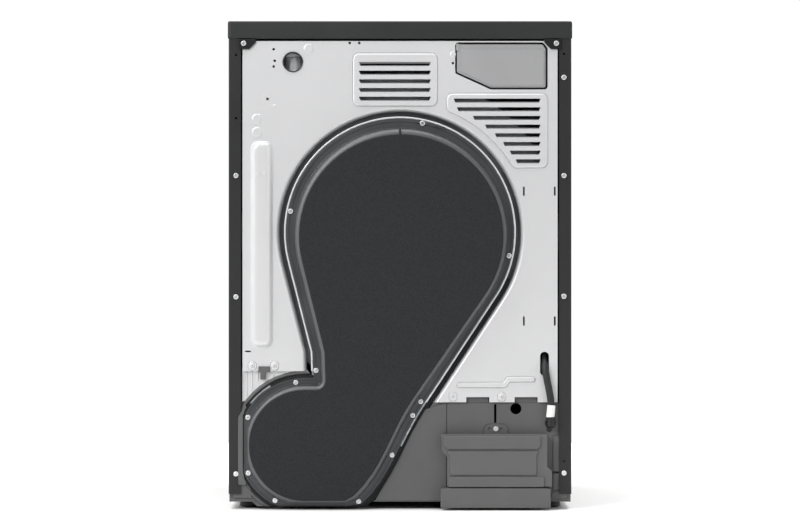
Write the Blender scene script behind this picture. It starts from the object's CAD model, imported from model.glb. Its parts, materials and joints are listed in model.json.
import json
import math

import bpy
from mathutils import Matrix, Vector

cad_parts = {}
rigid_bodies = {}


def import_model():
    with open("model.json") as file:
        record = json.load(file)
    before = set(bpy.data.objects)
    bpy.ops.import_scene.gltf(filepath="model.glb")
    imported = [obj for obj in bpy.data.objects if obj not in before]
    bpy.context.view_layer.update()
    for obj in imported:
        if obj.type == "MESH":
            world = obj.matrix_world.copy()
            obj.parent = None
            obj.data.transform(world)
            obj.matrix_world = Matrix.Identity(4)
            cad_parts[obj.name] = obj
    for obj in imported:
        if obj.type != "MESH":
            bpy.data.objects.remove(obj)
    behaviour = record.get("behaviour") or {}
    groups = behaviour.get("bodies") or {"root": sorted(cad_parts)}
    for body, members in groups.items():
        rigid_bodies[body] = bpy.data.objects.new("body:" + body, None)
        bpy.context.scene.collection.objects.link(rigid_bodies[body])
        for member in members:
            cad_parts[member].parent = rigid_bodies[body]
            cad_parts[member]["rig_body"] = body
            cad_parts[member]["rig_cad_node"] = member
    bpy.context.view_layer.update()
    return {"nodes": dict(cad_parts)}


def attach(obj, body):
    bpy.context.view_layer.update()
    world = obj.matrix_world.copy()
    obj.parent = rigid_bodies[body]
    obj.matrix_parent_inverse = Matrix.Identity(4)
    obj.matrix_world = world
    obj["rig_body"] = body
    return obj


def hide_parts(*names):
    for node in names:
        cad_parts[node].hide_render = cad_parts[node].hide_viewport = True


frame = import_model()
cad_nodes = frame["nodes"]
MM = 0.001

# ---- camera and studio ----
# The dryer stands on a matt white floor in an even white light, seen square on from behind.
# A large softbox up on the left of that view models the round edges, a weaker one fills the right.

scene = bpy.context.scene
scene.view_settings.view_transform = "Standard"
lens = bpy.data.cameras.new("camera")
lens.lens = 135
lens.sensor_width = 36
lens.clip_end = 60
camera = bpy.data.objects.new("camera", lens)
camera.location = (0, 5.54, 0.4246)
camera.rotation_euler = (math.radians(90), 0, math.radians(180))
scene.collection.objects.link(camera)
scene.camera = camera


def linear(code):
    """An sRGB hex colour as linear RGBA."""
    parts = [int(code[i:i + 2], 16) / 255 for i in (1, 3, 5)]
    return tuple(c / 12.92 if c <= 0.04045 else ((c + 0.055) / 1.055) ** 2.4 for c in parts) + (1,)


def add(tree, kind, inputs=None, **settings):
    """A shader node with its settings; an input is a value or the socket that feeds it."""
    made = tree.nodes.new(kind)
    for name, value in settings.items():
        setattr(made, name, value)
    for name, value in (inputs or {}).items():
        if isinstance(value, bpy.types.NodeSocket):
            tree.links.new(value, made.inputs[name])
        else:
            made.inputs[name].default_value = value
    return made


def tone(tree, by, dark, light):
    """A colour between dark and light, chosen by the given output."""
    return add(tree, "ShaderNodeMix", {0: by, 6: linear(dark), 7: linear(light)}, data_type="RGBA")


def spread(tree, by, low, high):
    """The given output, 0 to 1, carried over to low to high."""
    return add(tree, "ShaderNodeMapRange", {"Value": by, "To Min": low, "To Max": high})


def bumps(tree, by, strength, distance):
    """Surface relief from the given output; distance is in metres."""
    return add(tree, "ShaderNodeBump", {"Height": by, "Strength": strength, "Distance": distance})


def new_material(name):
    """An empty material and its node tree with a surface shader wired to the output."""
    made = bpy.data.materials.new(name)
    made.use_nodes = True
    return made, made.node_tree, made.node_tree.nodes["Principled BSDF"]


world = bpy.data.worlds.new("studio")
world.use_nodes = True
sky = world.node_tree
backdrop = add(sky, "ShaderNodeBackground", {"Color": linear("#FFFFFF"), "Strength": 1.02})
room = add(sky, "ShaderNodeBackground", {"Color": linear("#F4F5F7"), "Strength": 0.2})
seen = add(sky, "ShaderNodeMixShader", {0: add(sky, "ShaderNodeLightPath").outputs["Is Camera Ray"],
                                        1: room.outputs[0], 2: backdrop.outputs[0]})
sky.links.new(seen.outputs[0], sky.nodes["World Output"].inputs["Surface"])
scene.world = world


def softbox(name, place, aim, size, watts):
    """A square area light that faces a point."""
    panel = bpy.data.lights.new(name, "AREA")
    panel.size = size
    panel.energy = watts
    lamp = bpy.data.objects.new(name, panel)
    lamp.location = place
    lamp.rotation_euler = (Vector(aim) - Vector(place)).to_track_quat("-Z", "Y").to_euler()
    scene.collection.objects.link(lamp)


softbox("key", (2.2, 3.1, 2.5), (0, 0.3, 0.8), 1.8, 128)
softbox("fill", (-2.4, 4.4, 1.6), (0, 0.3, 0.45), 2.0, 32)
softbox("overhead", (0, 0, 3.2), (0, 0, 0), 3.0, 135)
softbox("edge_left", (3.4, 0.9, 1.0), (0.3, 0.3, 0.45), 1.2, 22)
softbox("edge_right", (-3.4, 0.9, 1.0), (-0.3, 0.3, 0.45), 1.2, 18)
softbox("front_key", (-2.2, -3.4, 2.2), (0, -0.3, 0.45), 2.0, 105)
softbox("front_fill", (2.6, -3.6, 1.4), (0, -0.3, 0.4), 2.0, 35)

bpy.ops.object.select_all(action="DESELECT")
bpy.ops.mesh.primitive_circle_add(vertices=96, radius=1.7, fill_type="NGON", location=(0, 0, 0))
floor = bpy.context.object
floor.name = "floor"
floor_paint, tree, shader = new_material("white_floor_paint")
# Matt emulsion on board: no gloss, a very slight roller mottle.
mottle = add(tree, "ShaderNodeTexNoise", {"Vector": add(tree, "ShaderNodeTexCoord").outputs["Object"],
    "Scale": 30})
shade = tone(tree, mottle.outputs["Fac"], "#F4F4F3", "#FAFAF9")
tree.links.new(shade.outputs[2], shader.inputs["Base Color"])
shader.inputs["Roughness"].default_value = 0.9
floor.data.materials.append(floor_paint)

# ---- drain hose ----
# A plain EPDM hose for the condensate. It leaves the pump's elbow at the bottom corner, goes through the slot
# in the rear sheet, and climbs behind it to the water tank's inlet, held at both ends and by the slot.

HOSE_R = 6.1 * MM
HOSE_ROUTE = [
    (-262, 328, 182.3), (-262, 328, 190), (-259.5, 327, 206), (-256, 325, 224), (-252.5, 321, 246),
    (-251.6, 306, 264), (-252, 296, 285), (-256, 288, 320), (-266, 284, 400), (-270, 284, 500),
    (-272, 284, 600), (-273, 284, 700), (-273, 280, 770), (-270, 268, 812), (-252, 235.5, 829),
    (-222, 199.5, 831), (-196, 172.5, 830), (-190, 164.5, 818),
]


def alone(piece):
    """Selects one piece and makes it the active one."""
    bpy.ops.object.select_all(action="DESELECT")
    piece.select_set(True)
    bpy.context.view_layer.objects.active = piece
    return piece


def smooth_route(points, steps):
    """Points of a smooth curve through the given ones."""
    found = []
    for i in range(len(points) - 1):
        a, b = Vector(points[max(i - 1, 0)]), Vector(points[i])
        c, d = Vector(points[i + 1]), Vector(points[min(i + 2, len(points) - 1)])
        for k in range(steps):
            t = k / steps
            found.append(0.5 * (2 * b + t * (c - a) + t * t * (2 * a - 5 * b + 4 * c - d)
                                + t ** 3 * (3 * b - a - 3 * c + d)))
    return found + [Vector(points[-1])]


def shaped(piece, kind, **settings):
    """A modifier with its settings, applied."""
    alone(piece)
    step = piece.modifiers.new(kind.lower(), kind)
    for name, value in settings.items():
        setattr(step, name, value)
    bpy.ops.object.modifier_apply(modifier=step.name)
    return piece


def finished(piece, body, finish, *replaced, slot=None, angle=32):
    alone(piece)
    bpy.ops.object.transform_apply(location=True, rotation=True, scale=True)
    bpy.ops.object.shade_smooth_by_angle(angle=math.radians(angle))
    shaped(piece, "WEIGHTED_NORMAL", keep_sharp=True, weight=50)
    if finish:
        piece.data.materials.clear()
        piece.data.materials.append(finish)
    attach(piece, body)
    if replaced:
        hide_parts(*replaced)
    return piece


# EPDM rubber, extruded: deep black with a dull skin, a little grey dust, and faint lengthwise drawing marks.
rubber, tree, shader = new_material("epdm_rubber")
place = add(tree, "ShaderNodeTexCoord").outputs["Object"]
dust = add(tree, "ShaderNodeTexNoise", {"Vector": place, "Scale": 55, "Detail": 4, "Roughness": 0.6})
shade = tone(tree, dust.outputs["Fac"], "#0B0B0C", "#1B1B1C")
skin = add(tree, "ShaderNodeTexNoise", {"Vector": place, "Scale": 900, "Detail": 2})
relief = bumps(tree, skin.outputs["Fac"], 0.25, 0.0002)
gloss = spread(tree, dust.outputs["Fac"], 0.42, 0.62)
tree.links.new(shade.outputs[2], shader.inputs["Base Color"])
tree.links.new(gloss.outputs[0], shader.inputs["Roughness"])
tree.links.new(relief.outputs[0], shader.inputs["Normal"])
shader.inputs["IOR"].default_value = 1.5

line = bpy.data.curves.new("hose", "CURVE")
line.dimensions = "3D"
line.bevel_depth = HOSE_R
line.bevel_resolution = 5
line.use_fill_caps = True
route = smooth_route(HOSE_ROUTE, 8)
run = line.splines.new("POLY")
run.points.add(len(route) - 1)
for point, at in zip(run.points, route):
    point.co = (*(at * MM), 1)
hose = bpy.data.objects.new("drain_hose_run", line)
scene.collection.objects.link(hose)
alone(hose)
bpy.ops.object.convert(target="MESH")
finished(hose, "cabinet", rubber, "drain_hose", slot="rubber", angle=60)

# ---- base module ----
# One deep tray of glass-filled polypropylene that everything stands on: it holds the heat pump, the motor
# and the pump. Its rear wall closes the cabinet below the sheet, with two tabs that hook in front of it.


def moulded(name, dark, light, rough, grain=0.45, shine=0.35):
    """Injection-moulded plastic: spark-eroded grain, faint flow mottling, and dust in patches."""
    made, tree, shader = new_material(name)
    place = add(tree, "ShaderNodeTexCoord").outputs["Object"]
    flow = add(tree, "ShaderNodeTexNoise", {"Vector": place, "Scale": 9, "Detail": 5, "Roughness": 0.55})
    shade = tone(tree, flow.outputs["Fac"], dark, light)
    pits = add(tree, "ShaderNodeTexNoise", {"Vector": place, "Scale": 1 / (grain * MM), "Detail": 3,
        "Roughness": 0.7})
    relief = bumps(tree, pits.outputs["Fac"], 0.35, 0.0002)
    gloss = spread(tree, flow.outputs["Fac"], rough - 0.07, rough + 0.09)
    tree.links.new(shade.outputs[2], shader.inputs["Base Color"])
    tree.links.new(gloss.outputs[0], shader.inputs["Roughness"])
    tree.links.new(relief.outputs[0], shader.inputs["Normal"])
    shader.inputs["IOR"].default_value = 1.49
    shader.inputs["Specular IOR Level"].default_value = shine
    return made


def softened(node, edge, finish, body, slot, turn=30):
    """A CAD node's copy with its faces joined and its edges rounded as the real piece's are."""
    alone(cad_nodes[node])
    bpy.ops.object.duplicate()
    copy = bpy.context.object
    copy.name = node + "_skin"
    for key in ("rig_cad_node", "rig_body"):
        del copy[key]
    copy.parent = None
    bpy.ops.object.mode_set(mode="EDIT")
    bpy.ops.mesh.select_all(action="SELECT")
    bpy.ops.mesh.remove_doubles(threshold=0.02 * MM)
    bpy.ops.mesh.dissolve_limited(angle_limit=math.radians(1))
    bpy.ops.object.mode_set(mode="OBJECT")
    if edge:
        shaped(copy, "BEVEL", width=edge * MM, segments=3, angle_limit=math.radians(turn),
            limit_method="ANGLE",
               use_clamp_overlap=True, harden_normals=False, miter_outer="MITER_ARC")
    return finished(copy, body, finish, node, slot=slot, angle=turn)


def plate(name, loops, rear, thick=0.0, edge=0.0):
    """A sheet or slab cut to flat outlines in X and Z, holes included, with its rear face at rear, in mm."""
    flat = bpy.data.curves.new(name, "CURVE")
    flat.dimensions = "2D"
    flat.fill_mode = "BOTH"
    flat.extrude = max(thick / 2 - edge, 0) * MM
    flat.bevel_depth = edge * MM
    flat.bevel_resolution = 2
    flat.offset = -edge * MM
    for loop in loops:
        ring = flat.splines.new("POLY")
        ring.points.add(len(loop) - 1)
        ring.use_cyclic_u = True
        for point, (x, z) in zip(ring.points, loop):
            point.co = (x * MM, z * MM, 0, 1)
    made = bpy.data.objects.new(name, flat)
    made.rotation_euler = (math.radians(90), 0, 0)
    made.location = (0, (rear - thick / 2) * MM, 0)
    scene.collection.objects.link(made)
    alone(made)
    bpy.ops.object.convert(target="MESH")
    bpy.ops.object.transform_apply(location=True, rotation=True, scale=True)
    bpy.ops.object.mode_set(mode="EDIT")
    bpy.ops.mesh.select_all(action="SELECT")
    bpy.ops.mesh.remove_doubles(threshold=0.01 * MM)
    if thick:
        bpy.ops.mesh.normals_make_consistent(inside=False)
    bpy.ops.object.mode_set(mode="OBJECT")
    return bpy.context.object


def face_outward(piece, direction):
    """Makes a mesh's faces agree and turns them so that most of them look along the given direction."""
    alone(piece)
    bpy.ops.object.mode_set(mode="EDIT")
    bpy.ops.mesh.select_all(action="SELECT")
    bpy.ops.mesh.normals_make_consistent(inside=False)
    bpy.ops.object.mode_set(mode="OBJECT")
    if sum(f.normal.dot(direction) * f.area for f in piece.data.polygons) < 0:
        piece.data.flip_normals()


def joined(name, pieces):
    """Several meshes as one piece."""
    alone(pieces[0])
    for piece in pieces[1:]:
        piece.select_set(True)
    bpy.ops.object.join()
    pieces[0].name = name
    return pieces[0]


def rounded(points, radius, inset=0.0, steps=5):
    """A closed outline, run anticlockwise, moved inwards by inset, with every corner turned to an arc."""
    found = []
    count = len(points)
    corners = []
    for i, point in enumerate(points):
        here, before, after = Vector(point), Vector(points[i - 1]), Vector(points[(i + 1) % count])
        a, b = (here - before).normalized(), (after - here).normalized()
        m, n = Vector((-a.y, a.x)), Vector((-b.y, b.x))
        corners.append((here + inset * (m + n) / (1 + m.dot(n)), a, b))
    for here, a, b in corners:
        bend = a.x * b.y - a.y * b.x
        turn = math.atan2(bend, a.dot(b))
        size = max(radius - inset, 0.3) if turn > 0 else radius + inset
        back = size * math.tan(abs(turn) / 2)
        side = 1 if turn > 0 else -1
        hub = here - a * back + Vector((-a.y, a.x)) * size * side
        start = math.atan2(*(here - a * back - hub).yx)
        found += [(hub.x + size * math.cos(start + turn * k / steps),
            hub.y + size * math.sin(start + turn * k / steps))
                  for k in range(steps + 1)]
    return found


def circle(x, z, radius, count=32):
    """A round outline, run anticlockwise."""
    return [(x + radius * math.cos(2 * math.pi * k / count), z + radius * math.sin(2 * math.pi * k / count))
            for k in range(count)]


def skin(name, rings, closed=True):
    """A surface drawn through rings of points in mm, each ring with the same number of points."""
    count = len(rings[0])
    verts = [tuple(c * MM for c in point) for ring in rings for point in ring]
    faces = [
        (i * count + k, i * count + (k + 1) % count, (i + 1) * count + (k + 1) % count, (i + 1) * count + k)
        for i in range(len(rings) - 1) for k in range(count if closed else count - 1)
    ]
    mesh = bpy.data.meshes.new(name)
    mesh.from_pydata(verts, [], faces)
    made = bpy.data.objects.new(name, mesh)
    scene.collection.objects.link(made)
    return made


# Glass-filled polypropylene, mid grey, with a matt spark-eroded grain.
grey_plastic = moulded("grey_polypropylene", "#505050", "#5E5E5E", 0.5)
white_plastic = moulded("white_abs", "#D9DAD9", "#E9E9E7", 0.36, grain=0.3)
black_plastic = moulded("black_abs", "#0F1011", "#1A1B1C", 0.45, grain=0.35, shine=0.25)
softened("base_tray", 0.8, grey_plastic, "cabinet", "grey_plastic")
softened("base_cover", 1.2, grey_plastic, "cabinet", "grey_plastic")

# The rear wall is moulded in two halves that meet at a step, with bosses for the hose elbow and the cable.
wall = plate("base_wall_right", [
    rounded([(-291, 15), (-82, 15), (-82, 185.5), (-291, 185.5)], 1.5),
    circle(-262, 150, 8.6), circle(-202, 175, 9.8), rounded([(-168, 149), (-164, 149), (-164, 183),
        (-168, 183)], 1.8),
], 313.8, thick=1.7, edge=0.6)
hook = plate("hook", [rounded([(233, 226), (243, 226), (243, 239), (246.5, 239), (246.5, 249), (226, 249),
    (226, 239), (233, 239)], 1)],
             320.4, thick=2.2, edge=0.6)
strap = plate("strap", [rounded([(267, 176), (273.4, 164), (273.4, 72), (268, 60), (268, 43), (281, 43),
    (281.8, 60), (281.8, 160), (268.6, 184)], 1.2)],
              320.9, thick=1.8, edge=0.5)
ledges = [
    plate("ledge", [rounded(shape, 1.2)], 316, thick=4, edge=0.8)
    for shape in (
        [(258, 20), (291, 20), (291, 27), (282, 34), (270, 56), (262, 56)],
        [(-291, 20), (-262, 20), (-266, 30), (-280, 34), (-291, 34)],
        [(-279, 66), (-266.5, 66), (-266.5, 127.6), (-279, 127.6)],
        [(-279, 34), (-266.5, 34), (-266.5, 62.6), (-279, 62.6)],
    )
]
gap = plate("side_gap", [[(-281, 62.8), (-264, 62.8), (-264, 65.8), (-281, 65.8)]], 314.2, thick=0.4,
    edge=0.1)
finished(gap, "cabinet", black_plastic, slot="black_plastic")
outlet = plate("elbow_outlet", [circle(-260, 139.6, 5, 24)], 315.4, thick=1.6, edge=0.5)
finished(outlet, "cabinet", rubber, slot="rubber")
finished(joined("base_rear_details", [wall, hook, strap] + ledges), "cabinet", grey_plastic,
    slot="grey_plastic")

# ---- heat pump, motors and feet ----
# The working parts bolt into the tray: a black enamelled compressor, two finned aluminium coils joined by
# copper tube, the motors of drum and fan, the drain pump, and four rubber-soled feet on steel threads.


def enamel(name, dark, light, rough, peel=2.5, coat=0.0, metallic=0.0, shine=0.35):
    """Sprayed and baked paint: orange peel, a little dust, and a colour that is never quite even."""
    made, tree, shader = new_material(name)
    place = add(tree, "ShaderNodeTexCoord").outputs["Object"]
    cloud = add(tree, "ShaderNodeTexNoise", {"Vector": place, "Scale": 4, "Detail": 6, "Roughness": 0.6})
    shade = tone(tree, cloud.outputs["Fac"], dark, light)
    orange_peel = add(tree, "ShaderNodeTexNoise", {"Vector": place, "Scale": 1 / (peel * MM), "Detail": 2})
    relief = bumps(tree, orange_peel.outputs["Fac"], 0.12, 0.0002)
    gloss = spread(tree, cloud.outputs["Fac"], rough - 0.05, rough + 0.07)
    tree.links.new(shade.outputs[2], shader.inputs["Base Color"])
    tree.links.new(gloss.outputs[0], shader.inputs["Roughness"])
    tree.links.new(relief.outputs[0], shader.inputs["Normal"])
    shader.inputs["IOR"].default_value = 1.5
    shader.inputs["Coat Weight"].default_value = coat
    shader.inputs["Metallic"].default_value = metallic
    shader.inputs["Specular IOR Level"].default_value = shine
    return made


def metal(name, dark, light, rough, stretch=(1, 1, 1), grain=1.2, relief_mm=0.05):
    """Bare metal: fine drawing or brushing marks along one direction, and patches of differing shine."""
    made, tree, shader = new_material(name)
    place = add(tree, "ShaderNodeTexCoord").outputs["Object"]
    marks_at = add(tree, "ShaderNodeMapping", {"Vector": place, "Scale": stretch})
    marks = add(tree, "ShaderNodeTexNoise", {"Vector": marks_at.outputs[0], "Scale": 1 / (grain * MM),
        "Detail": 4, "Roughness": 0.65})
    patch = add(tree, "ShaderNodeTexNoise", {"Vector": place, "Scale": 12, "Detail": 4})
    shade = tone(tree, patch.outputs["Fac"], dark, light)
    both = add(tree, "ShaderNodeMath", {0: marks.outputs["Fac"], 1: patch.outputs["Fac"]},
        operation="MULTIPLY")
    gloss = add(tree, "ShaderNodeMapRange", {"Value": both.outputs[0], "From Max": 0.5,
        "To Min": rough - 0.08, "To Max": rough + 0.12})
    relief = bumps(tree, marks.outputs["Fac"], 0.3, relief_mm * MM)
    tree.links.new(shade.outputs[2], shader.inputs["Base Color"])
    tree.links.new(gloss.outputs[0], shader.inputs["Roughness"])
    tree.links.new(relief.outputs[0], shader.inputs["Normal"])
    shader.inputs["Metallic"].default_value = 1
    return made


# Baked black enamel on steel, with a slight gloss.
black_enamel = enamel("black_enamel", "#0F1011", "#191A1B", 0.32, coat=0.2)
# Rolled aluminium fins, bright with lengthwise rolling marks; soft-drawn copper, warm and slightly tarnished.
aluminium = metal("rolled_aluminium", "#A9AEB1", "#C7CBCD", 0.34, stretch=(1, 0.08, 1))
copper = metal("drawn_copper", "#8E4A2A", "#C77B4E", 0.3, stretch=(0.1, 1, 1))
# Steel with an electroplated zinc coat, cool grey and evenly satin.
zinc = metal("electroplated_zinc", "#8B8E92", "#AEB1B4", 0.36)
dark_zinc = metal("black_passivated_zinc", "#3C3E41", "#55575A", 0.4)
softened("compressor", 1, black_enamel, "cabinet", "compressor_black")
softened("evaporator", 0, aluminium, "cabinet", "coil_aluminium")
softened("condenser", 0, aluminium, "cabinet", "coil_aluminium")
softened("refrigerant_pipes", 0, copper, "cabinet", "copper")
softened("drain_pump", 0.6, black_plastic, "cabinet", "black_plastic")
softened("drum_motor", 0.8, black_enamel, "cabinet", "black_plastic")
softened("fan_motor", 0.8, black_enamel, "cabinet", "black_plastic")
softened("motor_pulley", 0.3, zinc, "rotor", "screw_steel")
softened("idler_arm", 0.4, zinc, "idler", "galvanised")
softened("idler_pulley", 0.4, white_plastic, "idler_wheel", "white_plastic")
softened("fan_wheel", 0.2, white_plastic, "fan", "white_plastic")
FEET = (("front_left", "foot_fl"), ("front_right", "foot_fr"),
        ("rear_left", "foot_rl"), ("rear_right", "foot_rr"))
for corner, body in FEET:
    softened("foot_" + corner, 0.6, rubber, body, "rubber")

# The hose's elbow is a ribbed rubber bend over the pump's outlet, under a white polypropylene collar set a
# little aslant.
bpy.ops.object.select_all(action="DESELECT")
bpy.ops.mesh.primitive_cylinder_add(vertices=40, radius=7.2 * MM, depth=22 * MM,
    location=(-0.262, 0.328, 0.171))
collar = bpy.context.object
shaped(collar, "BEVEL", width=1.2 * MM, segments=3, limit_method="ANGLE")
alone(collar)
bpy.ops.object.mode_set(mode="EDIT")
bpy.ops.mesh.select_all(action="SELECT")
bpy.ops.transform.rotate(value=math.radians(6), orient_axis="Y", center_override=(-0.262, 0.328, 0.171))
bpy.ops.object.mode_set(mode="OBJECT")
collar.name = "hose_collar"
finished(collar, "cabinet", white_plastic, slot="white_plastic")
bends = []
COLLAR_RIBS = [(8.2, 160), (7.4, 157.4), (8.3, 154.8), (7.4, 152.2), (8.4, 149.6), (7.6, 147)]
for k, (grow, z) in enumerate(COLLAR_RIBS):
    bpy.ops.object.select_all(action="DESELECT")
    bpy.ops.mesh.primitive_cylinder_add(vertices=36, radius=grow * MM, depth=2.8 * MM,
        location=(-0.262, 0.328, z * MM))
    bends.append(shaped(bpy.context.object, "BEVEL", width=0.8 * MM, segments=2, limit_method="ANGLE"))
bpy.ops.object.select_all(action="DESELECT")
bpy.ops.mesh.primitive_cylinder_add(vertices=36, radius=6.9 * MM, depth=17 * MM,
    location=(-0.262, 0.3205, 0.150),
                                    rotation=(math.radians(90), 0, 0))
bends.append(bpy.context.object)
bpy.ops.object.select_all(action="DESELECT")
bpy.ops.mesh.primitive_torus_add(major_radius=8.4 * MM, minor_radius=1.3 * MM, major_segments=36,
    minor_segments=10,
                                 location=(-0.262, 0.3145, 0.150), rotation=(math.radians(90), 0, 0))
bends.append(bpy.context.object)
finished(joined("hose_elbow", bends), "cabinet", rubber, "hose_fitting", slot="rubber")

# ---- rear sheet ----
# One pressed sheet of pre-coated steel closes the back. Fields are drawn out of it to stiffen it and to
# carry the vents, a channel is pressed in, and its edge rolls inwards round the opening for the air duct.

SHEET_Y = 318
CORNER_R = 11
OUT = [(0, 0), (0.2, -1.0), (0.8, -1.0), (1.0, 0.3), (1.7, 1.3), (2.5, 2.0), (3.3, 2.4), (3.9, 2.5)]
ARCH = [(0, 0), (0.2, -0.8), (0.6, -0.8), (0.8, 0.2), (1.3, 0.9), (2.0, 1.2)]
NARROW = [(0, 0), (0.2, -1.0), (0.7, -1.0), (0.9, 0.4), (1.5, 1.4), (2.2, 1.9), (3.0, 2.1)]
SHALLOW = [(0, 0), (0.5, 0.35), (1.1, 0.9), (1.8, 1.2), (2.6, 1.3)]
DEEP = [(0, 0), (0.8, 0.3), (1.7, 1.2), (2.8, 3.0), (4.2, 5.0), (6.0, 6.6), (8.2, 7.5), (11, 7.9), (13.5, 8)]


def drawn_field(points, radius, profile, holes=()):
    """A field pressed out of the sheet or into it, with a soft shoulder, and holes in its flat middle."""
    rings = [[(x, SHEET_Y + rise, z) for x, z in rounded(points, radius, inset)] for inset, rise in profile]
    inset, rise = profile[-1]
    top = plate("field_top", [rounded(points, radius, inset)] + list(holes), SHEET_Y + rise)
    return joined("field", [top, skin("shoulder", rings)])


def vent(x0, x1, z, half=3.6):
    """A louvre's outline, wider at its top edge."""
    return rounded([(x0 + half, z - half), (x1 - half, z - half), (x1, z + half), (x0, z + half)], 0.8,
        steps=2)


def vent_lip(x0, x1, z, half=3.6):
    """The louvre's lower edge, turned inwards and up."""
    ends = [(x0 + half + 0.4, x1 - half - 0.4), (x0 + half, x1 - half), (x0 + 2.4, x1 - 2.4)]
    rise = [(z - half, 320.4), (z - half + 0.5, 317), (z - half + 2.4, 309)]
    return skin("lip", [[(x, y, low) for x in pair] for pair, (low, y) in zip(ends, rise)], closed=False)


upper_vents = [(-54, 72, 775.2 - 15.1 * i) for i in range(5)]
lower_vents = [(-245, min(-93, -math.sqrt(236 ** 2 - (z - 482) ** 2)), z)
               for z in (711.5 - 15.1 * i for i in range(8))]
upper_field = [(-66, 701), (83, 701), (83, 795), (-66, 795)]
sweep = [(226 * math.cos(math.radians(a)), 482 + 226 * math.sin(math.radians(a)))
         for a in (150.5 - 3.97 * i for i in range(11))]
lower_field = [(-258, 594)] + sweep + [(-80, 725), (-258, 725)]
channel = [(220.5, 281), (260.5, 281), (260.5, 642), (220.5, 642)]
rib = [(-236, 221), (-191, 221), (-185, 211), (-98, 211), (-98, 222), (-180, 222), (-186, 231.5),
    (-236, 231.5)]
buttons = [(159, 802, 9), (249, 680, 9), (249, 657, 9), (-92, 792, 5.5), (218, 703, 3)]
arches = [rounded([(x - 8, z - 9.4), (x + 8, z - 9.4), (x + 8, z + 8), (x - 8, z + 8)], 7.4)
          for x, z in ((-92, 197), (-177, 197), (257, 251), (218, 251))]

DUCT_FLOOR, FACE_LOW, FACE_RIGHT, RIM_OUT, FLANGE_X = 5, 16.5, 262, 24, 277
BULB, FAN, NECK_X, FAN_TOP = (-2, 475), (166, 112.5), 129, 208.5


def arc(cx, cz, r, a0, a1, steps):
    """Points of an arc, both ends included, angles in degrees."""
    return [(cx + r * math.cos(math.radians(a0 + (a1 - a0) * i / steps)),
             cz + r * math.sin(math.radians(a0 + (a1 - a0) * i / steps))) for i in range(steps + 1)]


def touch(point, centre, r, side):
    """The angle on a circle at which the tangent from a point meets it."""
    dx, dz = point[0] - centre[0], point[1] - centre[1]
    return math.degrees(math.atan2(dz, dx)) + side * math.degrees(math.acos(r / math.hypot(dx, dz)))


def duct_path(g, start=0.0):
    """The duct's outline moved outwards by g mm: over the bulb, down the neck, round the fan and up."""
    share = min(g / 21.5, 1)
    centre = (BULB[0] + 2 * share, BULB[1] + 7 * share)
    right = (130.5 + g, 274)
    left = (-20 - 0.834 * g, 190.5 - 0.552 * g)
    low = (81 - 0.68 * g, 25 - 0.73 * g)
    a0, a1 = touch(right, centre, 177 + g, 1), touch(left, centre, 177 + g, -1) + 360
    pull = [left, (left[0] + 40, left[1] - 60.5), (low[0] - 51, low[1] + 47), low]
    bow = []
    for i in range(1, 8):
        t, s = i / 8, 1 - i / 8
        weights = (s ** 3, 3 * s * s * t, 3 * s * t * t, t ** 3)
        bow.append(tuple(sum(w * p[axis] for w, p in zip(weights, pull)) for axis in (0, 1)))
    fillet = max(16 - g, 3)
    bend = [(x, z) for x, z in arc(NECK_X + g + fillet, FAN_TOP + g + fillet, fillet, 270, 180, 4)]
    points = (arc(*centre, 177 + g, a0, a1, 44) + [left] + bow
              + [low, (96 - 0.3 * g, 16.5 - 0.95 * g)] + arc(*FAN, 96 + g, -90, 90, 24) + bend + [right])
    reach = FACE_RIGHT + g * (FLANGE_X - 4 - FACE_RIGHT) / RIM_OUT
    floor_z = max(DUCT_FLOOR, FACE_LOW - g * (FACE_LOW - DUCT_FLOOR) / RIM_OUT)
    return [(min(x, reach), max(z, floor_z)) for x, z in points]


def sheet_edge(g):
    """The part of that outline that the sheet's edge follows, from the neck to its foot on the left."""
    right, left = (130.5 + g, 274), (-20 - 0.834 * g, 190.5 - 0.552 * g)
    a0, a1 = touch(right, (0, 482), 177 + g, 1), touch(left, (0, 482), 177 + g, -1) + 360
    over = arc(0, 482, 177 + g, a0, a1, 64)
    share = (over[-1][1] - 186.5) / (over[-1][1] - left[1])
    foot = (over[-1][0] + share * (left[0] - over[-1][0]), 186.5)
    return [(129.4 + g, 240.5), right] + over + [foot]


# Pre-coated steel: a smooth pale grey lacquer over zinc, satin, with faint handling marks and soft waviness.
coated = enamel("precoated_steel", "#C9C9CA", "#D2D2D3", 0.33, peel=6, metallic=0.25)
holes = [circle(x, z, 2.3, 14) for x, z in
         [(220, 801), (218, 781), (220, 771), (87.5, 812), (71, 812), (230.6, 714.6), (-92, 777)]]
holes += [rounded([(x - 1.5, z - 8), (x + 1.5, z - 8), (x + 1.5, z + 8), (x - 1.5, z + 8)], 1)
          for x, z in [(-215.6, 554), (-269.4, 554), (-215.6, 328), (-269.4, 328)]]
holes.append(rounded([(259.6, 273.8), (269.6, 273.8), (269.6, 276.4), (259.6, 276.4)], 1))
holes.append(rounded([(-259.35, 232.3), (-243.85, 232.3), (-243.85, 274.4), (-259.35, 274.4)], 7.7))
tank_door = [(-257, 731), (-157.5, 731), (-96, 759), (-96, 813), (-249, 813), (-257, 803)]
fields = [
    drawn_field(upper_field, CORNER_R, OUT, [vent(*v) for v in upper_vents]),
    drawn_field(lower_field, CORNER_R, OUT, [vent(*v) for v in lower_vents]),
    drawn_field(channel, 15, DEEP),
    drawn_field(rib, 5, NARROW),
]
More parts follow.
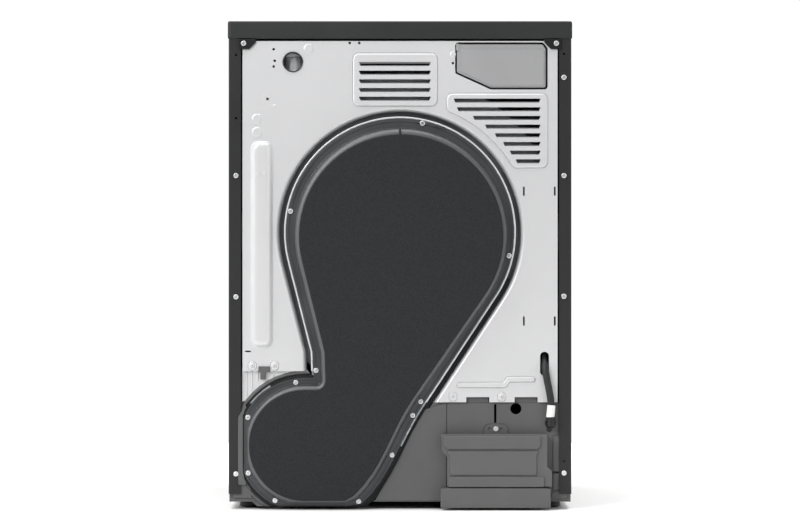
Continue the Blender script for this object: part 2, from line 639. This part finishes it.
for x, z in ((-92, 197), (-177, 197), (257, 251), (218, 251)):
    arch = [(x - 8, z - 9.4), (x + 8, z - 9.4), (x + 8, z + 8), (x - 8, z + 8)]
    fields.append(drawn_field(arch, 7.4, ARCH, [circle(x, z, 4.4, 20)]))
    fields.append(skin("boss", [[(px, SHEET_Y + rise, pz) for px, pz in circle(x, z, r)]
                                for r, rise in ((4.4, 1.2), (4.1, 0.2), (3.6, 0.1), (3.2, 1.3), (2.6, 1.9),
                                    (1.6, 1.9), (1.3, 0.6))]))
fields += [vent_lip(*v) for v in upper_vents + lower_vents]
for x, z, r, form in [(*b, SHALLOW) for b in buttons]:
    fields.append(joined("button", [
        plate("button_top", [circle(x, z, r - form[-1][0])], SHEET_Y + form[-1][1]),
        skin("button_side", [[(px, SHEET_Y + rise, pz) for px, pz in circle(x, z, r - inset)]
                             for inset, rise in form]),
    ]))
ROLL = [(41, 0), (39.6, -0.2), (38, -0.9), (36.6, -2.2), (35.3, -4.4), (34.2, -7.6), (33.4, -11.5), (33, -17)]
edge = sheet_edge(41)
notches = [p for x in (-219.5, -135.5) for p in ((x - 20, 186.5), (x - 20, 195.5), (x + 20, 195.5),
    (x + 20, 186.5))]
SIDE, TOP = 274.2, 815.3
ENTRY = (186.7, 779)
border = [(-SIDE, 186.5)] + notches + edge[::-1] + [(SIDE, 240.5), (SIDE, TOP), (-SIDE, TOP)]
cuts = [rounded(upper_field, CORNER_R), rounded(lower_field, CORNER_R), rounded(channel, 15), rounded(rib, 5),
        circle(*ENTRY, 17, 40), rounded(tank_door, 6)] + [circle(x, z, r) for x, z, r in buttons] + arches
face = plate("sheet_face", [border] + cuts + holes, SHEET_Y)
roll = skin("rolled_edge", [[(x, SHEET_Y + rise, z) for x, z in sheet_edge(g)] for g, rise in ROLL][::-1],
    closed=False)
sheet = joined("rear_sheet", [face, roll] + fields)
alone(sheet)
bpy.ops.object.mode_set(mode="EDIT")
bpy.ops.mesh.select_all(action="SELECT")
bpy.ops.mesh.remove_doubles(threshold=0.02 * MM)
bpy.ops.object.mode_set(mode="OBJECT")
face_outward(sheet, Vector((0, 1, 0)))
shaped(sheet, "SOLIDIFY", thickness=0.9 * MM, offset=-1)
finished(sheet, "cabinet", coated, "rear_panel", slot="galvanised", angle=40)

# Its lower corner is stepped back behind the main edge and stiffened with upright creases.
low_edge = arc(*FAN, 128.5, 36.5, 90, 24)
lower = plate("lower_sheet", [[(275, 187.5), (275, 247), (166, 247)] + low_edge[::-1]], 313.6, thick=1,
    edge=0.3)
creases = [
    plate("crease", [rounded([(x - 1.4, low), (x + 1.4, low), (x + 1.4, 240), (x - 1.4, 240)], 1.3)], 314.8,
        thick=1.6, edge=0.7)
    for x, low in ((220.5, 230), (248, 222), (258, 204), (267, 196))
]
finished(joined("lower_rear_sheet", [lower] + creases), "cabinet", coated, slot="galvanised")

bars = [plate("bar", [rounded([(x0, 580.5), (x1, 580.5), (x1, 587.5), (x0, 587.5)], 1.2)], 326.8, thick=1.6,
    edge=0.6)
        for x0, x1 in ((232, 240), (242, 249))]
finished(joined("channel_bars", bars), "cabinet", coated, slot="galvanised")

# The cable entry has a thin steel bush. Behind it stands a rounded post with a white plate above and below.
GLAND = [(15.6, 302.2), (15.6, 319.2), (15.9, 319.8), (16.5, 320), (17.3, 320), (17.8, 319.6), (17.9, 318.2)]
bush = skin("cable_bush", [[(x, y, z) for x, z in circle(*ENTRY, r, 56)] for r, y in GLAND])
finished(bush, "cabinet", dark_zinc, "cord_gland", slot="grey_plastic", angle=60)
bpy.ops.object.select_all(action="DESELECT")
bpy.ops.mesh.primitive_cylinder_add(vertices=64, radius=17 * MM, depth=21.5 * MM,
    location=(0.1867, 0.285, 0.778))
post = shaped(bpy.context.object, "BEVEL", width=1.2 * MM, segments=3, limit_method="ANGLE")
post.name = "cable_entry_post"
finished(post, "cabinet", coated, slot="galvanised", angle=40)
backing = joined("cable_entry_backing", [
    plate("crescent", [rounded([(166, low), (207, low), (207, low + 11), (166, low + 11)], 1)], 301.8,
        thick=2, edge=0.5)
    for low in (756.6, 788.8)
])
finished(backing, "cabinet", white_plastic, slot="white_plastic")
brackets = []
for side in (1, -1):
    shape = [(262.5, 801), (281, 801), (281, 818.3), (251, 818.3), (251, 812.5)]
    if side < 0:
        shape = [(-x, z) for x, z in shape[::-1]]
    brackets.append(plate("bracket", [rounded(shape, 1.2)], 321.5, thick=2.5, edge=0.7))
finished(joined("corner_bracket_pair", brackets), "cabinet", black_plastic, "corner_brackets",
    slot="black_plastic")

# ---- rear air duct ----
# A galvanised pan with a rolled rim carries warm air from the fan up to the drum. A pressed lid closes it,
# screwed down through its flat flange, and a needled felt pad is glued on the lid against heat and noise.

# Hot-dip galvanised steel: bright grey zinc with a soft spangle of crystals about 8 mm across.
galvanised, tree, shader = new_material("galvanised_steel")
place = add(tree, "ShaderNodeTexCoord").outputs["Object"]
crystals = add(tree, "ShaderNodeTexVoronoi", {"Vector": place, "Scale": 125}, feature="F1")
tint = add(tree, "ShaderNodeSeparateColor", {"Color": crystals.outputs["Color"]})
shade = tone(tree, tint.outputs[0], "#9EA1A4", "#C3C6C8")
gloss = spread(tree, tint.outputs[1], 0.28, 0.42)
tree.links.new(shade.outputs[2], shader.inputs["Base Color"])
tree.links.new(gloss.outputs[0], shader.inputs["Roughness"])
shader.inputs["Metallic"].default_value = 1
softened("duct_shell", 0.4, galvanised, "cabinet", "galvanised")
# The rolled rim is pre-coated like the sheet, and brighter where the coat is stretched over the roll.
rim_steel = enamel("bright_rolled_rim", "#C4C5C6", "#D6D6D7", 0.3, peel=6, metallic=0.2)
BEAD = [(21.9, 318.6), (22.0, 320.2), (22.3, 320.8), (22.9, 321), (23.9, 321), (24.5, 320.7), (24.8, 320),
    (24.9, 318)]
bead = skin("rolled_rim", [[(x, y, z) for x, z in sheet_edge(g)] for g, y in BEAD], closed=False)
# Round the fan the rim is capped by a black moulded trim, left open over two short stretches.
TRIM = [(20.9, 319.8), (21.0, 320.5), (21.6, 320.9), (24.6, 320.9), (25.1, 320.4), (25.2, 318.4)]
trims = [skin("trim", [[(x, y, z) for x, z in duct_path(g)[a:b]] for g, y in TRIM], closed=False)
         for a, b in ((48, 73), (75, 85))]
# Aluminium-zinc coated steel, pressed and left bare: mid grey with a dim gloss and long soft smears. The
# flange is rubbed dull by handling and the raised dome stays brighter.
flange_steel = metal("aluzinc_steel_flange", "#48494B", "#5C5D5F", 0.45, grain=3, relief_mm=0.03)
dome_steel = metal("aluzinc_steel_dome", "#5C5D5F", "#727375", 0.55, grain=3, relief_mm=0.03)
FLANGE = [(21.2, 317.9), (21.3, 319.4), (21.0, 320.0), (20.4, 320.2), (17.2, 320.2), (16.9, 319.7),
    (16.4, 319.7),
          (16.1, 320.2), (9.8, 320.3), (8.9, 320.7), (8.4, 321.6), (8.2, 323)]
DOME = [(8.2, 323), (8.0, 328), (7.6, 330.4), (6.8, 332.6), (5.6, 334.4), (4.1, 335.8), (2.4, 336.7),
    (0.6, 337.0), (-8, 337.0)]
lid = skin("duct_lid_flange", [[(x, y, z) for x, z in duct_path(g)] for g, y in FLANGE][::-1])
dome = skin("duct_lid_dome", [[(x, y, z) for x, z in duct_path(g)] for g, y in DOME][::-1])
finished(lid, "cabinet", flange_steel, "duct_cover", slot="grey_plastic", angle=30)
finished(dome, "cabinet", dome_steel, slot="grey_plastic", angle=40)
# The base's rear wall meets the duct along a close bow, and a round ridge follows the fan above it.
bow = duct_path(29.5)
foot = [p for p in bow[45:53]]
left_wall = plate("base_wall_left", [[(-80.6, 15)] + [(-80.6, 185.5)] + foot[:-1] + [(foot[-1][0], 15)]],
    313.8, thick=1.7, edge=0.5)
finished(left_wall, "cabinet", grey_plastic, slot="grey_plastic")
RIDGE = [(25.2, 311), (26.4, 314.6), (28.4, 316.4), (30.6, 316.4), (32.6, 314.8), (34, 311), (40, 310.6)]
ridge = skin("fan_ridge", [[(x, y, z) for x, z in duct_path(g)[54:84]] for g, y in RIDGE], closed=False)
finished(ridge, "cabinet", grey_plastic, slot="grey_plastic", angle=50)
seal = skin("duct_seal", [[(x, 312.6, z) for x, z in duct_path(g)[42:55]] for g in (23, 32)], closed=False)
finished(seal, "cabinet", black_plastic, slot="black_plastic")
finished(joined("rim_trim", trims), "cabinet", black_plastic, slot="black_plastic", angle=40)
bpy.ops.object.select_all(action="DESELECT")
bpy.ops.mesh.primitive_cube_add(size=1, location=(0, 0.3365, 0.6572), scale=(3.6 * MM, 4.2 * MM, 9 * MM))
notch = shaped(bpy.context.object, "BEVEL", width=0.4 * MM, segments=2)
notch.name = "lid_locating_peg"
finished(notch, "cabinet", rubber, slot="black_plastic")
clips = [plate("clip", [rounded(shape, 1.5)], 321.2, thick=1.6, edge=0.6) for shape in (
    [(-52, 668), (-26, 673), (-27, 677), (-53, 672)], [(-78, 661), (-58, 667), (-59, 671), (-79, 665)])]
finished(joined("lid_clips", clips), "cabinet", flange_steel, slot="galvanised")
# Needled polyester felt, charcoal with paler fibres, pressed flat and fuzzy at its cut edge.
felt, tree, shader = new_material("needled_felt")
place = add(tree, "ShaderNodeTexCoord").outputs["Object"]
fibre = add(tree, "ShaderNodeTexNoise", {"Vector": place, "Scale": 420, "Detail": 6, "Roughness": 0.75})
fleck = add(tree, "ShaderNodeTexVoronoi", {"Vector": place, "Scale": 300}, feature="F1")
spots = add(tree, "ShaderNodeMapRange", {"Value": fleck.outputs["Distance"], "From Min": 0.1,
    "From Max": 0.45, "To Min": 1, "To Max": 0})
ground = tone(tree, fibre.outputs["Fac"], "#17181A", "#333436")
shade = add(tree, "ShaderNodeMix", {0: spots.outputs[0], 6: ground.outputs[2], 7: linear("#1F2022")},
    data_type="RGBA")
relief = bumps(tree, fibre.outputs["Fac"], 0.7, 0.0006)
tree.links.new(shade.outputs[2], shader.inputs["Base Color"])
tree.links.new(relief.outputs[0], shader.inputs["Normal"])
shader.inputs["Roughness"].default_value = 0.95
shader.inputs["Sheen Weight"].default_value = 0.08
shader.inputs["Specular IOR Level"].default_value = 0.2
PAD = [(0.2, 336.9), (0.3, 338.2), (0.0, 339.2), (-0.7, 339.8), (-1.8, 340)]
pad_side = skin("pad_side", [[(x, y, z) for x, z in duct_path(g)] for g, y in PAD][::-1])
pad = joined("felt_pad", [plate("pad_top", [duct_path(-1.8)], 340), pad_side])
alone(pad)
bpy.ops.object.mode_set(mode="EDIT")
bpy.ops.mesh.select_all(action="SELECT")
bpy.ops.mesh.remove_doubles(threshold=0.02 * MM)
bpy.ops.object.mode_set(mode="OBJECT")
face_outward(pad, Vector((0, 1, 0)))
finished(pad, "cabinet", felt, "duct_insulation", slot="felt", angle=50)
finished(bead, "cabinet", rim_steel, slot="galvanised", angle=60)

# ---- lower rear cover ----
# A moulded cover over the pump and compressor clips to the base: a main face, a lower lid split off by a
# thin gap, and a side strip set back from them.
face_back = [(-263.6, 41), (-82, 41), (-82, 93), (-73, 101), (-71, 131.6), (-255.6, 131.6), (-255.6, 75),
    (-263.6, 69)]
face_top = [(-238, 106), (-83, 106), (-75, 112), (-75, 129.5), (-244, 129.5), (-244, 112)]
face_mid = [(-237, 61), (-86, 61), (-86, 94), (-80, 103.5), (-242, 103.5), (-237, 96)]
face_band = [(-250, 40.6), (-84, 40.6), (-84, 58.4), (-250, 58.4)]
face_lid = [(-261, 4.5), (-70.5, 4.5), (-70.5, 37.4), (-82, 38.8), (-250, 38.8), (-261, 37.4)]
parts = [
    plate("shell", [rounded(face_back, 2.5)], 341.5, thick=28, edge=1.6),
    plate("upper_face", [rounded(face_top, 2.5)], 345, thick=8, edge=2),
    plate("middle_face", [rounded(face_mid, 2.5)], 344.4, thick=8, edge=2),
    plate("lower_face", [rounded(face_band, 2)], 345, thick=8, edge=1.6),
    plate("lid", [rounded(face_lid, 2)], 344.6, thick=30, edge=1.4),
    plate("tongue", [rounded([(-188, 128), (-146, 128), (-146, 140), (-153, 147.6), (-181, 147.6),
        (-188, 140)], 4),
                     circle(-156, 140, 2.6), circle(-176.5, 140, 2.6)], 315.6, thick=3, edge=0.8),
    plate("tongue_rib", [rounded([(-191, 128), (-143, 128), (-143, 142), (-151, 150.4), (-183, 150.4),
        (-191, 142)], 5),
                         rounded([(-189, 128.5), (-145, 128.5), (-145, 141), (-152, 149), (-182, 149),
                             (-189, 141)], 5)],
          314.8, thick=2.4, edge=0.4),
]
finished(joined("pump_cover", parts), "cabinet", grey_plastic, "lower_rear_cover", slot="grey_plastic")

# ---- screws ----
# Zinc-plated pan heads with a cross recess, the same screw everywhere.

# Bright zinc plate, fresh and almost white, with a soft shine.
HEAD_R, HEAD_THICK, WASHER_R = 4.5, 2.4, 5.4
bright_zinc = enamel("bright_zinc_plate", "#D2D3D4", "#EDEDED", 0.24, peel=2, metallic=0.55, shine=0.5)
bpy.ops.object.select_all(action="DESELECT")
bpy.ops.mesh.primitive_cylinder_add(vertices=32, radius=HEAD_R * MM, depth=HEAD_THICK * MM,
    location=(0, 0, 0), rotation=(math.radians(90), 0, 0))
head = bpy.context.object
bpy.ops.object.transform_apply(location=True, rotation=True, scale=True)
shaped(head, "BEVEL", width=1.1 * MM, segments=4, limit_method="ANGLE", profile=0.6)
for turned in (0, 90):
    bpy.ops.object.select_all(action="DESELECT")
    bpy.ops.mesh.primitive_cube_add(size=1, location=(0, 1.2 * MM, 0),
        rotation=(0, math.radians(turned + 20), 0),
                                    scale=(5.4 * MM, 2.6 * MM, 1.25 * MM))
    blade = bpy.context.object
    shaped(head, "BOOLEAN", object=blade, operation="DIFFERENCE", solver="EXACT")
    bpy.data.objects.remove(blade)
FLANGE_SCREW_X = 285.4
duct_screws = [(177 + 17, a) for a in (11, 101.6, 192)]
seats = [(g * math.cos(math.radians(a)), 321, 482 + g * math.sin(math.radians(a))) for g, a in duct_screws]
seats += [(166 + 109.5 * math.cos(math.radians(a)), 321, 112.5 + 109.5 * math.sin(math.radians(a)))
          for a in (82, 25.9, -26.5, -62)]
seats += [(x, 321, z) for x, z in ((146, 242), (72, 14), (14, 95), (-36, 188), (-22, 164))]
seats += [(FLANGE_SCREW_X, 320.2, z) for z in (581, 370, 62)]
seats += [(-FLANGE_SCREW_X, 320.2, z) for z in (752, 581, 371, 63.5)]
seats += [(272, 322.7, 811), (-272, 322.7, 811), (-167, 316.4, 140)]
heads = []
for k, (x, y, z) in enumerate(seats):
    copy = head.copy()
    copy.data = head.data.copy()
    copy.location = (x * MM, y * MM, z * MM)
    copy.rotation_euler = (0, math.radians(37 * k), 0)
    scene.collection.objects.link(copy)
    alone(copy)
    bpy.ops.object.transform_apply(location=True, rotation=True, scale=True)
    heads.append(copy)
bpy.data.objects.remove(head)
washers = [plate("washer", [circle(x, z, WASHER_R, 28)], y - 0.9, thick=0.8, edge=0.2) for x, y, z in seats]
finished(joined("screw_washers", washers), "cabinet", black_plastic, slot="black_plastic")
finished(joined("screw_heads", heads), "cabinet", bright_zinc, "screws", slot="screw_steel", angle=40)

# ---- cabinet ----
# Side sheets of dark powder-coated steel are folded round the front and back edges; the front sheet, the
# plinth and the inner bulkhead tie them together.

# Powder coat on steel: dark warm grey, satin, with a fine even texture.
powder = enamel("dark_powder_coat", "#242425", "#2D2D2E", 0.42, peel=1.1, shine=0.25)
for side, body_node in ((-1, "side_panel_left"), (1, "side_panel_right")):
    fold = [(side * 283.5, -295.6)] + [
        (side * (295.4 + 3 * math.cos(a)), -292.6 + 3 * math.sin(a))
        for a in (math.radians(-90 + 15 * k) for k in range(7))
    ] + [
        (side * (295.4 + 3 * math.cos(a)), 316 + 3 * math.sin(a))
        for a in (math.radians(15 * k) for k in range(7))
    ] + [(side * 277, 319)]
    rows = [27.0, 27.4, 120, 300, 480, 660, 818.4, 818.8]
    bent_line = fold if side > 0 else fold[::-1]
    panel = skin(body_node + "_sheet", [[(x, y, z) for x, y in bent_line] for z in rows], closed=False)
    face_outward(panel, Vector((side, 0, 0)))
    shaped(panel, "SOLIDIFY", thickness=1 * MM, offset=-1)
    for x, z in ((side * FLANGE_SCREW_X, z) for z in ((791, 681) if side > 0 else (793, 84))):
        bpy.ops.object.select_all(action="DESELECT")
        bpy.ops.mesh.primitive_cylinder_add(vertices=20, radius=2 * MM, depth=6 * MM,
            location=(x * MM, 0.3185, z * MM),
                                            rotation=(math.radians(90), 0, 0))
        drill = bpy.context.object
        shaped(panel, "BOOLEAN", object=drill, operation="DIFFERENCE", solver="EXACT")
        bpy.data.objects.remove(drill)
    finished(panel, "cabinet", powder, body_node, slot="dark_sheet", angle=40)
softened("front_panel", 0.45, powder, "cabinet", "dark_sheet")
slots = [[(90, z), (260, z), (260, z + 4), (90, z + 4)] for z in range(36, 106, 10)]
low, high = (Vector([pick(corner[axis] for corner in cad_nodes["kick_plate"].bound_box) for axis in range(3)]) / MM
             for pick in (min, max))
plinth = plate("plinth", [rounded([(low.x, low.z), (high.x, low.z), (high.x, high.z), (low.x, high.z)], 2)]
               + [rounded(slot, 1) for slot in slots], high.y, thick=high.y - low.y, edge=0.5)
finished(plinth, "cabinet", black_plastic, "kick_plate", slot="black_plastic")
softened("front_bulkhead", 0, galvanised, "cabinet", "galvanised")

# ---- drum and its drive ----
# A stainless drum with a perforated back and three lifters rides on two rubber rollers, sealed with felt,
# and is turned by a long flat belt.

# Stainless steel, brushed round the drum, bright with fine lines.
stainless = metal("brushed_stainless", "#A6A9AC", "#C2C5C8", 0.3, stretch=(1, 0.05, 1), grain=1.5)
wool = moulded("wool_felt", "#4A463E", "#6A665C", 0.9, grain=1.2)
softened("drum_shell", 0, stainless, "drum", "stainless")
softened("drum_back", 0.2, stainless, "drum", "stainless")
softened("drum_lifters", 3, white_plastic, "drum", "white_plastic")
softened("drum_seals", 0, wool, "cabinet", "felt")
softened("roller_rear_left", 0.8, rubber, "roller_left", "rubber")
softened("roller_rear_right", 0.8, rubber, "roller_right", "rubber")
softened("roller_axles", 0.3, zinc, "cabinet", "galvanised")
softened("drum_belt", 0, rubber, "cabinet", "rubber")

# ---- water tank ----
# The condensate collects in a drawer at the top left, a blow-moulded tank that slides in a grey housing. The
# housing's end shows through the rear sheet with a thin gap all round.
pale_plastic = moulded("pale_grey_polypropylene", "#8F8F90", "#9B9B9C", 0.42)
end_face = [(-254, 734.2), (-158.6, 734.2), (-99, 761), (-99, 810), (-248, 810), (-254, 802)]
end = plate("housing_end", [rounded(end_face, 4)], 316.2, thick=12, edge=1.6)
inlay = plate("housing_inlay", [
    rounded([(-251, 737), (-159.5, 737), (-106, 762), (-106, 801), (-251, 801)], 3),
], 317.4, thick=2, edge=0.9)
lug = plate("housing_lug", [rounded([(-103, 799), (-97.4, 799), (-97.4, 811), (-103, 811)], 1)], 317.2,
    thick=3, edge=0.6)
finished(joined("housing_end_face", [end, inlay, lug]), "cabinet", pale_plastic, slot="grey_plastic")
housing = softened("tank_housing", 1, pale_plastic, "cabinet", "grey_plastic")
alone(housing)
bpy.ops.object.mode_set(mode="EDIT")
bpy.ops.mesh.select_all(action="SELECT")
bpy.ops.mesh.bisect(plane_co=(0, 0.299, 0), plane_no=(0, 1, 0), clear_outer=True, use_fill=False)
bpy.ops.object.mode_set(mode="OBJECT")
softened("water_tank", 3, white_plastic, "tank_drawer", "white_plastic")
softened("tank_front", 1.2, black_plastic, "tank_drawer", "black_plastic")

# ---- control panel ----
# A glossy dark fascia in moulded ABS carries a knurled programme knob, two push buttons and a smoked display
# window with the board behind it.
satin = metal("satin_chrome_plate", "#77797B", "#97999B", 0.3, grain=0.8)
laminate = moulded("green_solder_mask", "#123D24", "#1E5A36", 0.3, grain=0.6)
smoked, tree, shader = new_material("smoked_acrylic")
# Acrylic with a dark smoke tint: almost black, mirror smooth but for light wiping marks.
place = add(tree, "ShaderNodeTexCoord").outputs["Object"]
wipes = add(tree, "ShaderNodeTexNoise", {"Vector": place, "Scale": 18, "Detail": 5, "Roughness": 0.7})
gloss = spread(tree, wipes.outputs["Fac"], 0.03, 0.14)
shade = tone(tree, wipes.outputs["Fac"], "#08090A", "#0E0F11")
tree.links.new(shade.outputs[2], shader.inputs["Base Color"])
tree.links.new(gloss.outputs[0], shader.inputs["Roughness"])
shader.inputs["IOR"].default_value = 1.49
shader.inputs["Coat Weight"].default_value = 0.4
softened("control_panel", 1, black_plastic, "cabinet", "black_plastic")
softened("display_window", 0.5, smoked, "cabinet", "glass_dark")
softened("control_board", 0.2, laminate, "cabinet", "circuit_board")
softened("power_button", 0.7, satin, "power_key", "satin_trim")
softened("start_button", 0.7, satin, "start_key", "satin_trim")

# The knob's skirt is ribbed for grip and its cap is slightly dished, with one milled pointer line.
profile = [(27, 0.5), (27, 3.5), (26.2, 4.6), (25.4, 5.2), (24.9, 18), (24, 20.6), (22.2, 22), (19, 22),
    (17.5, 21.2), (0.01, 20.8)]
rings = []
for r, out in profile:
    ribbed = 0.45 if 5.2 <= out <= 18 else 0
    rings.append([((r + ribbed * math.cos(60 * a)) * math.cos(a), -309 - out,
        766 + (r + ribbed * math.cos(60 * a)) * math.sin(a))
                  for a in (2 * math.pi * k / 360 for k in range(360))])
knob = skin("programme_knob", rings)
bpy.ops.object.select_all(action="DESELECT")
bpy.ops.mesh.primitive_cube_add(size=1, location=(0, -0.3303, 0.7805), scale=(1.6 * MM, 1.2 * MM, 12 * MM))
pointer = shaped(bpy.context.object, "BEVEL", width=0.4 * MM, segments=2)
alone(knob)
bpy.ops.object.mode_set(mode="EDIT")
bpy.ops.mesh.select_all(action="SELECT")
bpy.ops.mesh.normals_make_consistent(inside=False)
bpy.ops.object.mode_set(mode="OBJECT")
finished(knob, "knob", satin, "selector_knob", slot="satin_trim", angle=35)
finished(pointer, "knob", white_plastic, slot="white_plastic")

# Programme marks stand round the knob as short raised bars, and plain symbols sit behind the window as a
# row of bars.
MARK_R, MARK_CORNERS = 34, ((-2, -0.5), (2, -0.5), (2, 0.5), (-2, 0.5))
marks = []
for k in range(16):
    a = math.radians(22.5 * k + 11.25)
    marks.append(plate("mark", [[(MARK_R * math.cos(a) + dx * math.cos(a) - dz * math.sin(a),
                                  766 + MARK_R * math.sin(a) + dx * math.sin(a) + dz * math.cos(a))
                                 for dx, dz in MARK_CORNERS]], -308.8, thick=0.4))
finished(joined("programme_marks", marks), "cabinet", white_plastic, slot="white_plastic")

# ---- door ----
# A round door: a smoked glass disc in a dark moulded ring, with a clear glass bowl behind it, hung on a
# zinc arm and hinge and held by a sprung latch.

# Clear pressed glass with a slight green-grey body, polished, with faint ripples.
clear, tree, shader = new_material("pressed_glass")
place = add(tree, "ShaderNodeTexCoord").outputs["Object"]
ripple = add(tree, "ShaderNodeTexNoise", {"Vector": place, "Scale": 14, "Detail": 2})
relief = bumps(tree, ripple.outputs["Fac"], 0.1, 0.001)
tree.links.new(relief.outputs[0], shader.inputs["Normal"])
shader.inputs["Base Color"].default_value = linear("#DDE5E4")
shader.inputs["Roughness"].default_value = 0.03
shader.inputs["Transmission Weight"].default_value = 0.9
shader.inputs["IOR"].default_value = 1.52
softened("door_ring", 0.5, black_plastic, "door", "black_plastic")
softened("door_glass", 0.4, smoked, "door", "glass_dark")
softened("door_bowl", 0.6, clear, "door", "glass_clear")
softened("door_frame", 0.6, grey_plastic, "door", "grey_plastic")
softened("hinge_bracket", 0.6, zinc, "cabinet", "galvanised")
softened("hinge_arm", 0.6, zinc, "door", "galvanised")
softened("latch_hook", 0.6, zinc, "door", "screw_steel")
softened("latch_receiver", 0.4, black_plastic, "cabinet", "black_plastic")
softened("door_seal", 0.5, rubber, "cabinet", "rubber")
lint_blue = moulded("blue_grey_acetal", "#4C8096", "#6AA0B4", 0.4, grain=0.4)
softened("lint_filter", 0.4, lint_blue, "filter", "filter_plastic")

# ---- top cover ----
# A laminated board with a dark textured skin and soft round edges closes the cabinet.
laminated = moulded("textured_laminate", "#262727", "#303131", 0.45, grain=0.8, shine=0.25)
softened("top_cover", 3, laminated, "cabinet", "dark_sheet")
